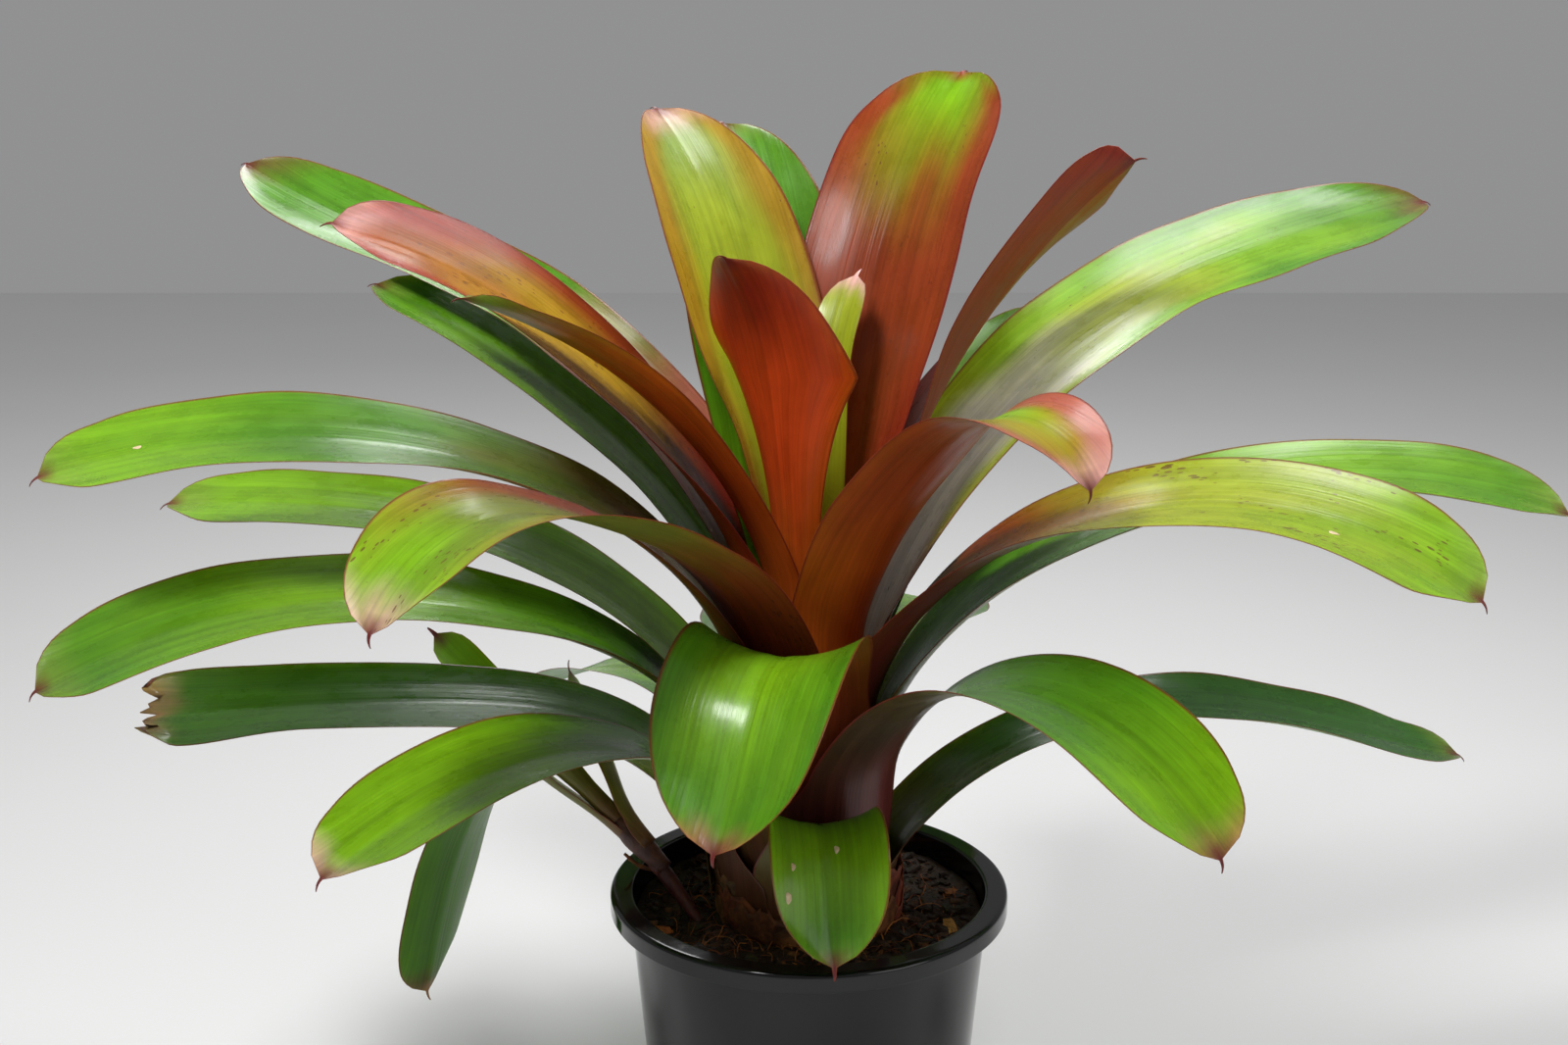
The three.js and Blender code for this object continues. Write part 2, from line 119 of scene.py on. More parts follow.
PALETTE = {
    "lime": (0.17, 0.36, 0.006),
    "green": (0.075, 0.23, 0.007),
    "deep": (0.032, 0.14, 0.008),
    "sage": (0.19, 0.29, 0.04),
    "yellow": (0.30, 0.36, 0.014),
    "gold": (0.36, 0.21, 0.012),
    "orange": (0.42, 0.085, 0.008),
    "rust": (0.25, 0.040, 0.010),
    "red": (0.25, 0.020, 0.010),
    # painted sheen: a pale silvery colour that stands for the reflection of a light on a leaf's upper side
    "silver": (0.58, 0.56, 0.46),
    # scarlet: a bright red that partly stands for light shining through a thin leaf, a painted glow
    "scarlet": (0.50, 0.055, 0.008),
    "wine": (0.13, 0.018, 0.018),
    # dark: painted shade, used on the under side of a low leaf's base where shade falls under the crown
    "dark": (0.05, 0.03, 0.012),
    # sheath: the leaf bases' own dark brown, darkened further as painted shade where they sit under the
    # crown
    "sheath": (0.10, 0.035, 0.014),
    "olive": (0.13, 0.13, 0.015),
    "brown": (0.16, 0.07, 0.025),
    "tan": (0.42, 0.24, 0.11),
    "pink": (0.72, 0.40, 0.36),
    "blush": (0.38, 0.11, 0.075),
    # painted sheen: a pale cream that stands for the reflection of a light on a leaf's upper side
    "cream": (0.62, 0.50, 0.30),
}

FRECKLE = (0.10, 0.02, 0.012)
LEAF_MARGIN = (0.16, 0.014, 0.012)
POT_PLASTIC = (0.004, 0.004, 0.0045)
POT_DUST = (0.035, 0.033, 0.03)
FLOOR_TONES = ((0.74, 0.74, 0.735), (0.77, 0.77, 0.765))

GREEN_TOP = ("olive", "green", "lime", "green")
# The dark base of the under side is partly the sheath's own brown and partly painted shade under the crown.
GREEN_UNDER = ("sheath", "olive", "green", "green")


def leaf(az, length, wide, stand, run, **more):
    """One leaf: compass angle, length, width, length of the upright base and slopes.

    Optional: sway, roll and cup in degrees; tip, foot and open as shares; palette
    names for the top, its sides, the under side, the blush near the end and the
    apex; spots as a share; hook of the point in degrees; torn end; edge wave; scars
    as place along, place across and size.
    """
    made = {"az": az, "len": length, "wide": wide, "stand": stand, "run": run,
            "sway": 0, "roll": 0, "cup": 60, "tip": 1, "foot": 0.9, "open": 1,
            "top": GREEN_TOP, "side": None, "under": GREEN_UNDER, "apex": "wine", "blush": "sage",
            "spots": 0.04, "hook": 50, "torn": 0, "wave": 1, "scars": ()}
    made.update(more)
    return made


LEAVES = [
    leaf(148, 348, 60, 15, (56, -16, -64, -78), top=("olive", "deep", "deep", "deep"),
         apex="tan", blush="brown"),
    leaf(275, 144, 58, 40, (82, 0, -58, -62), cup=85, foot=0.5, top=("deep", "green", "lime", "green"),
         hook=0, spots=0.05,
         scars=((0.62, -0.1, 2.2), (0.70, 0.62, 2.0), (0.77, 0.78, 2.8))),
    leaf(188, 334, 66, 24, (78, 16, 1, -1), roll=14, cup=50, tip=0.7, torn=1,
         top=("olive", "green", "green", "green"), apex="tan", blush="tan", hook=0),
    leaf(122, 290, 54, 16, (56, 4, -16, -30), cup=50, foot=0.6),
    leaf(10, 338, 62, 8, (54, 14, -13, -16), roll=-6, top=("olive", "deep", "deep", "deep")),
    leaf(218, 278, 80, 14, (78, 26, -6, -30), cup=55, tip=0.8, foot=0.5,
         top=("olive", "green", "lime", "lime"), blush="pink"),
    leaf(98, 300, 60, 20, (66, 14, -22, -40), cup=50),
    # Its under side is painted dark wine and near black towards the base, a painted shade under the crown.
    leaf(314, 295, 84, 50, (70, 26, -14, -48), tip=0.8, top=("olive", "green", "green", "lime"),
         under=("wine", "dark", "olive", "green"), blush="blush"),
    leaf(72, 320, 62, 20, (64, 10, -16, -35), cup=50),
    leaf(196, 405, 74, 20, (80, 28, 0, -28), roll=17, tip=0.8),
    leaf(260, 245, 88, 85, (84, 10, -54, -56), sway=-20, cup=90, tip=0.9, foot=0.6,
         top=("rust", "green", "lime", "green"), side=("rust", "green", "green", "green"),
         under=("red", "rust", "olive", "green"), blush="blush"),
    leaf(172, 376, 68, 26, (78, 34, 8, -6), roll=10, cup=55, foot=0.72,
         top=("olive", "lime", "lime", "lime")),
    leaf(356, 428, 76, 44, (74, 32, 7, -20), roll=-10, foot=0.72),
    leaf(80, 350, 70, 50, (80, 34, 6, -16), cup=50, foot=0.7),
    leaf(190, 450, 76, 66, (78, 32, 5, -16), foot=0.7, roll=16, tip=0.8,
         top=("rust", "brown", "green", "lime"), under=("rust", "rust", "olive", "green"),
         spots=0.1, scars=((0.9, 0.1, 2.2),)),
    leaf(336, 400, 84, 56, (76, 34, 3, -36), roll=-13, tip=0.8,
         top=("rust", "orange", "yellow", "lime"), side=("red", "rust", "yellow", "lime"),
         under=("red", "wine", "olive", "green"), spots=0.8, scars=((0.83, 0.25, 2.6),)),
    leaf(228, 368, 78, 70, (80, 33, 13, -58), foot=0.75,
         top=("rust", "rust", "olive", "lime"), side=("rust", "red", "rust", "lime"),
         under=("red", "rust", "olive", "green"), spots=0.6, blush="pink"),
    leaf(48, 300, 60, 50, (80, 52, 38, 24), cup=55),
    leaf(155, 360, 70, 58, (82, 46, 29, 14), roll=6, top=("olive", "lime", "lime", "green")),
    # Its upper side is painted with a pale band of sheen from the base to about the middle, standing for
    # the reflection of a light.
    leaf(25, 489, 84, 45, (80, 46, 17, 6), roll=-20, tip=1.8,
         top=("cream", "silver", "silver", "yellow", "lime", "green"),
         side=("blush", "rust", "yellow", "lime", "green", "green"),
         under=("rust", "olive", "green", "green"), apex="wine", blush="brown", spots=0.3),
    leaf(306, 310, 72, 86, (74, 54, 30, -66), sway=13, cup=70, foot=0.55,
         top=("orange", "rust", "lime", "gold"), side=("rust", "rust", "rust", "blush"),
         under=("red", "orange", "rust", "olive"), blush="pink"),
    # Its upper side is painted with a pale silvery band near the base, a painted sheen standing for the
    # reflection of a light.
    leaf(147, 500, 68, 58, (84, 38, 16, 20), roll=16, tip=1.4,
         top=("blush", "silver", "silver", "lime", "green", "green"),
         side=("rust", "rust", "blush", "green", "green", "green"), apex="wine", blush="brown"),
    leaf(12, 346, 72, 66, (80, 69, 53, 36), roll=42, cup=70, tip=0.6, foot=0.7,
         top=("orange", "rust", "rust", "red"), side=("rust", "rust", "red", "wine"),
         under=("orange", "rust", "rust", "red"), blush="red"),
    leaf(184, 370, 74, 50, (84, 58, 39, 14), roll=22, cup=70,
         top=("rust", "red", "gold", "rust"), side=("red", "red", "rust", "red"),
         under=("red", "rust", "wine", "wine"), spots=0.7, blush="pink"),
    leaf(108, 342, 84, 52, (80, 70, 62, 34), cup=50, foot=0.7,
         top=("lime", "lime", "green", "green")),
    # The base of its upper side is painted pale cream, a painted sheen standing for the reflection of a
    # light.
    leaf(58, 370, 88, 50, (80, 76, 60, 32), tip=0.8,
         top=("cream", "rust", "rust", "lime"), side=("rust", "red", "rust", "rust"),
         under=("orange", "rust", "rust", "olive"), apex="red", blush="lime", spots=0.35),
    leaf(205, 312, 52, 70, (84, 58, 38, 20), roll=-10, cup=80,
         top=("orange", "rust", "olive", "olive"), under=("red", "orange", "orange", "olive")),
    leaf(127, 342, 84, 70, (86, 72, 63, 30), cup=70, tip=1.3,
         top=("gold", "yellow", "yellow", "sage"), side=("orange", "rust", "gold", "gold"),
         blush="pink", spots=0.3),
    # Both sides are painted bright orange and scarlet: the leaf's own red, brightened as a painted glow of
    # light shining through it.
    leaf(232, 263, 94, 70, (86, 82, 76, 44), cup=74, tip=1.4, open=0.55, foot=0.78,
         top=("orange", "scarlet", "rust", "olive"), side=("rust", "red", "red", "red"),
         under=("orange", "orange", "scarlet", "red"), blush="rust", spots=0.1),
    leaf(60, 236, 26, 60, (84, 86, 84, 42), cup=90,
         top=("lime", "yellow", "yellow", "yellow"), under=("lime", "lime", "yellow", "yellow"),
         apex="pink", blush="pink", spots=0),
]

# Side shoot, as in the CAD source
SHOOT_FOOT = (-53, -14, 172)
SHOOT_BEND = (-66, -6, 190)
SHOOT_NODE = (-82, 2, 208)
SHOOT_AZ = 152
SHOOT_LEAN = 52
SHOOT_START = 5
SHOOT_LAYER = 1.4
SHOOT_PITCH = 5
SHOOT_TOP = ("brown", "olive", "green", "yellow")
SHOOT_UNDER = ("brown", "olive", "olive", "lime")
SHOOT_LEAVES = [
    leaf(200, 96, 22, 16, (70, 66, 70, 74), cup=90, top=SHOOT_TOP, under=SHOOT_UNDER),
    leaf(30, 128, 20, 22, (76, 80, 84, 80), cup=90, top=SHOOT_TOP, under=SHOOT_UNDER),
    leaf(120, 142, 20, 28, (82, 84, 84, 80), cup=100, top=SHOOT_TOP,
         under=("brown", "olive", "lime", "lime")),
]

# Bark chips: size, heading and lean, as in the CAD source
BARK = [
    ((13, 8, 4.5), 20, 12),
    ((10, 7, 4), 75, -14),
    ((9, 6, 4), 130, 10),
    ((12, 7, 4), 160, -8),
    ((9, 7, 4.5), 40, 15),
    ((15, 8, 4.5), 100, -10),
    ((10, 7, 4), 10, 12),
    ((12, 8, 4), 60, -12),
    ((10, 7, 4), 110, 9),
]
PALE_CHIPS = (1, 6)
PALE_CHIP_TINT = (3.2, 2.2, 1.2)
CHIP_TINTS = ((1.2, 0.9, 0.7), (1.5, 1.1, 0.8))

# The twig's two sticks, as in the CAD source
TWIG = [
    ((-66, 16, 170), (-70, 12, 184), (-80, 24, 196), (-92, 30, 210)),
    ((-71, 14, 186), (-76, 10, 192), (-86, 12, 194), (-94, 14, 200)),
]
CRUMB_COUNT = 900
FIBRE_COUNT = 170
SCALE_COUNT = 34
LEAF_TURN = 137.5

# Camera and stage
CAMERA_PLACE = (-0.0125, -1.013, 0.656)
CAMERA_PITCH = 15.3
CAMERA_LENS = 50
FLOOR_SIZE = 6.0
WORLD_GREY = (0.86, 0.86, 0.87, 1)
WORLD_STRENGTH = 0.33
LIGHT_TARGET = (0, 0, 0.3)
LIGHTS = (
    ("key", (-0.5, -0.7, 1.7), 0.4, 19),
    ("top", (0.35, 0.45, 1.7), 0.7, 14),
    ("fill", (1.4, -1.2, 0.9), 1.2, 6),
    ("back", (-0.2, 1.5, 1.35), 0.4, 4),
)

# Leaf finish: roughness and shine for each slot
LEAF_FINISH = {
    "leaf_green": (0.28, 0.4),
    "leaf_bronze": (0.30, 0.25),
    "leaf_red": (0.27, 0.15),
}


def smooth(start, end, x):
    """Goes from 0 at the start to 1 at the end, easing in and out."""
    t = min(max((x - start) / (end - start), 0), 1)
    return t * t * (3 - 2 * t)


def mix(a, b, t):
    return a + (b - a) * t


def through(values, t):
    """A smooth curve through evenly spaced values."""
    last = len(values) - 1
    x = min(max(t, 0), 1) * last
    i = min(int(x), last - 1)
    f = x - i
    b, c = values[i], values[i + 1]
    a = values[i - 1] if i > 0 else 2 * b - c
    d = values[i + 2] if i < last - 1 else 2 * c - b
    bend = 2 * a - 5 * b + 4 * c - d + f * (3 * (b - c) + d - a)
    return b + 0.5 * f * (c - a + f * bend)


def shade(names, t):
    """Colour part way along a list of palette names."""
    x = min(max(t, 0), 1) * (len(names) - 1)
    i = min(int(x), len(names) - 2)
    a, b = (np.array(PALETTE[n]) for n in names[i:i + 2])
    return mix(a, b, smooth(0, 1, x - i))


# ---------------------------------------------------------------- meshes

def make_object(name, points, faces, material, marks=None, flat=False):
    """Mesh object in metres from points in millimetres, with its named attributes."""
    mesh = bpy.data.meshes.new(name)
    mesh.from_pydata([tuple(MM * c for c in p) for p in points], [], faces)
    mesh.validate()
    for key, values in (marks or {}).items():
        kind = "FLOAT_COLOR" if len(values[0]) == 4 else "FLOAT_VECTOR"
        store = mesh.attributes.new(key, kind, "POINT")
        field = "color" if kind == "FLOAT_COLOR" else "vector"
        store.data.foreach_set(field, np.array(values, np.float32).ravel())
    if not flat:
        mesh.shade_smooth()
    mesh.materials.append(material)
    made = bpy.data.objects.new(name, mesh)
    bpy.context.scene.collection.objects.link(made)
    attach(made, "root")
    return made


def ring_faces(ring_count, around, first=0):
    """Quads between equal rings, with their two ends closed across."""
    faces = []
    for i in range(ring_count - 1):
        for j in range(around):
            a = first + i * around + j
            b = first + i * around + (j + 1) % around
            faces.append((a, b, b + around, a + around))
    end = first + (ring_count - 1) * around
    faces.append(tuple(first + j for j in reversed(range(around))))
    faces.append(tuple(end + j for j in range(around)))
    return faces


def strip_ends(ring_count, around):
    """Quads between equal folded rings, with their ends closed by strips."""
    faces = ring_faces(ring_count, around)[:-2]
    last = (ring_count - 1) * around
    for j in range(around // 2 - 1):
        far = around - 1 - j
        faces.append((j, far, far - 1, j + 1))
        faces.append((last + j, last + j + 1, last + far - 1, last + far))
    return faces


# ---------------------------------------------------------------- leaves

def crown_start(order):
    """Radius and height at which the leaf of this order leaves the crown."""
    base = HEART_RADIUS + LEAF_LAYER * (len(LEAVES) - order)
    return base, CROWN_FOOT + LEAF_PITCH * order


def sheath(s, stand):
    """How much a leaf is sheath at a distance from its foot."""
    return 1 - smooth(0.45 * stand, stand + 6, s)


def leaf_line(spec, start):
    """Rows along a leaf: place, the two directions across it, width and curl."""
    base, foot_height = start
    length, wide, stand = spec["len"], spec["wide"], spec["stand"]
    az, sway, roll = (spec[k] * DEG for k in ("az", "sway", "roll"))
    tip = spec["tip"] * wide
    count = int(length / ROW_LENGTH)
    at = Vector((base * math.cos(az), base * math.sin(az), foot_height))
    fine = 4
    rows = []
    for k in range(count * fine + 1):
        t = k / (count * fine)
        s = t * length
        blade = through(spec["run"], (s - stand) / (length - stand))
        opened = smooth(stand - TURN_BEFORE, stand + TURN_AFTER, s)
        rise = mix(SHEATH_RISE, blade, opened) * DEG
        head = az + sway * t * t
        level = math.cos(rise)
        along = Vector((level * math.cos(head), level * math.sin(head), math.sin(rise)))
        if k > 0:
            at = at + along * (length / (count * fine))
        if k % fine:
            continue
        side = Vector((math.sin(head), -math.cos(head), 0))
        up = side.cross(along)
        turn = roll * t ** 1.3
        side2 = side * math.cos(turn) + up * math.sin(turn)
        up2 = up * math.cos(turn) - side * math.sin(turn)
        point = min(max((s - length + tip) / tip, 0), 1)
        foot = (spec["foot"] - STRAP_SHARE) * (1 - smooth(0, 0.28, t))
        strap = mix(STRAP_SHARE, 1, smooth(0.28, 0.62, t)) + foot
        narrow = mix(1, (1 - point ** TIP_POWER) ** TIP_ROUND, TORN_NARROW if spec["torn"] else 1)
        width = max(wide * (strap + SHEATH_FLARE * sheath(s, stand)) * narrow, TIP_WIDTH)
        radius = max(math.hypot(at.x, at.y), 5)
        wrap = 1 - smooth(WRAP_INSIDE * spec["open"], WRAP_OUTSIDE * spec["open"], radius)
        hood = TIP_HOOD * DEG * smooth(0.55, 1, point)
        fold = (spec["cup"] * DEG * (1 - FOLD_EASE * t) + hood) / width
        inward = Vector((-math.cos(head), -math.sin(head), 0))
        rows.append({
            "at": at.copy(), "along": along, "t": t, "s": s, "width": width,
            "top": (inward * wrap + up2 * (1 - wrap)).normalized(),
            "across": (side * wrap + side2 * (1 - wrap)).normalized(),
            "curl": wrap / radius + (1 - wrap) * fold, "wrap": wrap, "point": point,
            "limit": mix(LEAF_WRAP, SHEATH_WRAP, sheath(s, stand)) * DEG,
        })
    return rows


def add_mucro(rows, spec):
    """The short dark point at a leaf's apex, bent back by its hook."""
    last = rows[-1]
    at = last["at"].copy()
    for k in range(1, MUCRO_STEPS + 1):
        f = k / MUCRO_STEPS
        turn = -spec["hook"] * DEG * f
        along = (last["along"] * math.cos(turn) + last["top"] * math.sin(turn)).normalized()
        top = (last["top"] * math.cos(turn) - last["along"] * math.sin(turn)).normalized()
        at = at + along * (MUCRO_LENGTH / MUCRO_STEPS)
        row = dict(last, at=at.copy(), along=along, top=top, t=1, s=last["s"] + MUCRO_LENGTH * f)
        row["width"] = mix(TIP_WIDTH, 0.5, f)
        row["curl"] = last["curl"] * last["width"] / row["width"]
        rows.append(row)


def edge_wave(spec, seed, row, u):
    """Slow wave of the margin, in millimetres."""
    free = smooth(0.25, 0.5, row["t"]) * (1 - smooth(0.5, 1, row["point"]))
    drift = noise.noise(Vector((row["s"] * 0.016, 3.1 * seed, 0.7 if u > 0 else 7.3)))
    return WAVE_HEIGHT * spec["wave"] * free * drift * abs(u) ** 2.5


def row_points(spec, seed, row):
    """Upper and lower points across one row."""
    half = min(0.5 * row["width"] * row["curl"], row["limit"])
    over, under = [], []
    for u in ACROSS:
        angle = u * half
        mid = (row["at"] + row["across"] * (math.sin(angle) / row["curl"])
               + row["top"] * ((1 - math.cos(angle)) / row["curl"]))
        out = row["top"] * math.cos(angle) - row["across"] * math.sin(angle)
        relief = min(row["width"] / RELIEF_WIDTH, 1)
        groove = -GROOVE_DEPTH * math.exp(-(u / 0.1) ** 2) * (1 - row["wrap"]) * relief
        ribs = RIB_HEIGHT * math.sin(u * 19 + seed) * (1 - abs(u)) * relief
        mid = mid + out * (edge_wave(spec, seed, row, u) + groove + ribs)
        if spec["torn"] and row["t"] > TORN_FROM:
            bite = 0.5 + 0.5 * math.sin(7 * u + 1) * math.cos(17 * u)
            gone = (row["t"] - TORN_FROM) / (1 - TORN_FROM)
            mid = mid - row["along"] * (TORN_DEPTH * bite * gone)
        thick = mix(LEAF_THICK, LEAF_EDGE, u * u) * (1 - 0.25 * row["t"])
        thick = min(thick, 0.6 * row["width"])
        over.append(mid + out * (0.5 * thick))
        under.append(mid - out * (0.5 * thick))
    return over, under


def leaf_tint(spec, seed, row, u, upper):
    """Colour of the tissue before the fine streaks that the material adds; some palette colours in it are
    painted sheen, painted shade or painted glow.
    """
    drift = noise.noise(Vector((row["s"] * 0.02, u * 2.2, seed * 5.7 + (0 if upper else 40))))
    t = row["t"] + 0.10 * drift
    if upper:
        colour = shade(spec["top"], t)
        if spec["side"]:
            colour = mix(colour, shade(spec["side"], t), smooth(0.35, 0.85, abs(u) + 0.3 * drift))
    else:
        colour = shade(spec["under"], t)
    blush = 0.75 * smooth(0.93, 0.995, row["t"] + 0.03 * drift)
    colour = mix(colour, np.array(PALETTE[spec["blush"]]), blush)
    mucro = smooth(spec["len"] - 5, spec["len"] + 2, row["s"] + 4 * (1 - abs(u)))
    return (*mix(colour, np.array(PALETTE[spec["apex"]]), mucro), 1.0)


def leaf_mesh(spec, start, seed, place=None):
    """Points, faces and attributes of one closed leaf."""
    rows = leaf_line(spec, start)
    if not spec["torn"]:
        add_mucro(rows, spec)
    points, tint, blade, mark = [], [], [], []
    for row in rows:
        over, under = row_points(spec, seed, row)
        reach = 0.5 * row["width"]
        rim = (over[-1] - over[-2]).normalized() * MARGIN_ROUND
        back = (over[0] - over[1]).normalized() * MARGIN_ROUND
        ring = over + [(over[-1] + under[-1]) / 2 + rim] + under[::-1] + [(over[0] + under[0]) / 2 + back]
        us = list(ACROSS) + [1] + list(ACROSS[::-1]) + [-1]
        for j, (p, u) in enumerate(zip(ring, us)):
            upper = j < len(ACROSS)
            points.append(place(p) if place else p)
            tint.append(leaf_tint(spec, seed, row, u, upper))
            blade.append((row["s"] * MM, u * reach * MM + seed, 0 if upper else 1))
            mark.append((abs(u), row["t"], spec["spots"]))
    around = 2 * len(ACROSS) + 2
    return points, strip_faces(len(rows), around), {"tint": tint, "blade": blade, "mark": mark}


def strip_faces(ring_count, around):
    """Leaf ring faces; the two extra margin points close into triangles at the ends."""
    faces = ring_faces(ring_count, around)[:-2]
    n = around // 2 - 1
    last = (ring_count - 1) * around
    for first, flip in ((0, False), (last, True)):
        over = [first + j for j in range(n)]
        under = [first + 2 * n - j for j in range(n)]
        quads = [(over[j], under[j], under[j + 1], over[j + 1]) for j in range(n - 1)]
        quads.append((over[-1], under[-1], first + n))
        quads.append((over[0], first + 2 * n + 1, under[0]))
        faces += [q[::-1] if flip else q for q in quads]
    return faces


def scar_mesh(pile, spec, start, seed, scar):
    """A small healed oval blemish lying on a leaf's upper side."""
    t, u, size = scar
    rows = leaf_line(spec, start)
    row = rows[round(t * (len(rows) - 1))]
    angle = u * min(0.5 * row["width"] * row["curl"], row["limit"])
    out = row["top"] * math.cos(angle) - row["across"] * math.sin(angle)
    over, _ = row_points(spec, seed, row)
    middle = over[min(range(len(ACROSS)), key=lambda j: abs(ACROSS[j] - u))]
    wide = out.cross(row["along"]).normalized()
    long = row["along"]
    rings = []
    for reach, lift in ((1.0, -0.25), (0.85, 0.12), (0.45, 0.2), (0.1, 0.12)):
        for j in range(14):
            a = 2 * math.pi * j / 14
            ragged = size * reach * (1 + 0.16 * math.sin(3 * a + seed))
            across = wide * (0.62 * ragged * math.cos(a))
            rings.append(middle + out * lift + across + long * (ragged * math.sin(a)))
    pile.add(rings, ring_faces(4, 14), (1.0, 0.92, 0.76))


def leaf_slot(node):
    """The material slot that the record gives this node."""
    for part in frame["record"]["subparts"]:
        if part["node"] == node:
            return part["material_slot"]
    return "leaf_green"


# ---------------------------------------------------------------- materials

class Nodes:
    """A material's node tree with short calls for the nodes used here."""

    def __init__(self, name):
        self.material = bpy.data.materials.new(name)
        self.material.use_nodes = True
        self.tree = self.material.node_tree
        self.shader = self.tree.nodes["Principled BSDF"]

    def add(self, kind, **settings):
        node = self.tree.nodes.new(kind)
        for key, value in settings.items():
            setattr(node, key, value)
        return node

    def link(self, a, b):
        self.tree.links.new(a, b)

    def set(self, **values):
        for key, value in values.items():
            self.shader.inputs[key.replace("_", " ")].default_value = value

    def attribute(self, name, output):
        node = self.add("ShaderNodeAttribute", attribute_name=name, attribute_type="GEOMETRY")
        return node.outputs[output]

    def split(self, vector):
        node = self.add("ShaderNodeSeparateXYZ")
        self.link(vector, node.inputs[0])
        return node.outputs

    def scaled(self, vector, scale):
        node = self.add("ShaderNodeMapping")
        node.inputs["Scale"].default_value = scale
        self.link(vector, node.inputs["Vector"])
        return node.outputs[0]

    def noise(self, vector, scale=1.0, detail=3.0, rough=0.55, distort=0.0):
        node = self.add("ShaderNodeTexNoise")
        node.inputs["Scale"].default_value = scale
        node.inputs["Detail"].default_value = detail
        node.inputs["Roughness"].default_value = rough
        node.inputs["Distortion"].default_value = distort
        self.link(vector, node.inputs["Vector"])
        return node.outputs["Fac"]

    def voronoi(self, vector, scale=1.0, feature="F1"):
        node = self.add("ShaderNodeTexVoronoi", feature=feature)
        node.inputs["Scale"].default_value = scale
        self.link(vector, node.inputs["Vector"])
        return node.outputs["Distance"]

    def fit(self, value, low, high, to_low=0.0, to_high=1.0, kind="SMOOTHSTEP"):
        node = self.add("ShaderNodeMapRange", interpolation_type=kind)
        for key, number in zip(("From Min", "From Max", "To Min", "To Max"), (low, high, to_low, to_high)):
            node.inputs[key].default_value = number
        self.link(value, node.inputs["Value"])
        return node.outputs["Result"]

    def math(self, operation, a, b):
        node = self.add("ShaderNodeMath", operation=operation)
        for socket, value in zip(node.inputs, (a, b)):
            if isinstance(value, (int, float)):
                socket.default_value = value
            else:
                self.link(value, socket)
        return node.outputs[0]

    def blend(self, factor, a, b, mode="MIX"):
        node = self.add("ShaderNodeMix", data_type="RGBA", blend_type=mode)
        factor_in, a_in, b_in = node.inputs[0], node.inputs[6], node.inputs[7]
        for socket, value in ((factor_in, factor), (a_in, a), (b_in, b)):
            if isinstance(value, (int, float)):
                socket.default_value = value
            elif isinstance(value, tuple):
                socket.default_value = (*value, 1.0)
            else:
                self.link(value, socket)
        return node.outputs[2]

    def bump(self, height, strength, distance):
        node = self.add("ShaderNodeBump")
        node.inputs["Strength"].default_value = strength
        node.inputs["Distance"].default_value = distance
        self.link(height, node.inputs["Height"])
        self.link(node.outputs[0], self.shader.inputs["Normal"])


def leaf_material(name, roughness, shine):
    """Living leaf: long fine veins, mottling, freckles and a thin red margin."""
    n = Nodes(name)
    tint = n.attribute("tint", "Color")
    blade = n.attribute("blade", "Vector")
    across, along, spots = n.split(n.attribute("mark", "Vector"))
    lower = n.split(blade)[2]
    veins = n.noise(n.scaled(blade, (10, 620, 1)), detail=2.5)
    wide_veins = n.noise(n.scaled(blade, (5, 150, 1)), detail=2)
    mottle = n.noise(n.scaled(blade, (45, 70, 1)), detail=4, rough=0.6)
    value = n.math("MULTIPLY", n.fit(veins, 0.25, 0.75, 0.86, 1.12), n.fit(wide_veins, 0.3, 0.7, 0.88, 1.1))
    value = n.math("MULTIPLY", value, n.fit(mottle, 0.3, 0.7, 0.9, 1.08))
    grey = n.add("ShaderNodeCombineColor")
    for socket in grey.inputs:
        n.link(value, socket)
    colour = n.blend(1.0, tint, grey.outputs[0], "MULTIPLY")
    near = n.voronoi(n.scaled(blade, (170, 420, 1)))
    where = n.noise(n.scaled(blade, (22, 60, 1)), detail=3)
    dots = n.math("LESS_THAN", near, n.math("MULTIPLY", spots, n.fit(where, 0.42, 0.75, 0.0, 0.62)))
    colour = n.blend(n.math("MULTIPLY", dots, 0.75), colour, FRECKLE)
    rim = n.math("MULTIPLY", n.fit(across, 0.955, 0.992), n.fit(along, 0.02, 0.1))
    colour = n.blend(n.math("MULTIPLY", rim, 0.85), colour, LEAF_MARGIN)
    n.link(colour, n.shader.inputs["Base Color"])
    rough = n.math("ADD", n.fit(mottle, 0.3, 0.7, roughness - 0.05, roughness + 0.08),
                   n.math("MULTIPLY", lower, 0.12))
    n.link(rough, n.shader.inputs["Roughness"])
    n.set(Subsurface_Weight=0.35, Subsurface_Scale=0.0016, Specular_IOR_Level=shine, IOR=1.38,
          Coat_Weight=0.35 * shine, Coat_Roughness=0.14)
    n.shader.inputs["Subsurface Radius"].default_value = (1.0, 1.0, 0.25)
    n.bump(n.math("ADD", n.math("MULTIPLY", veins, 0.6), wide_veins), 0.5, 0.0005)
    return n.material


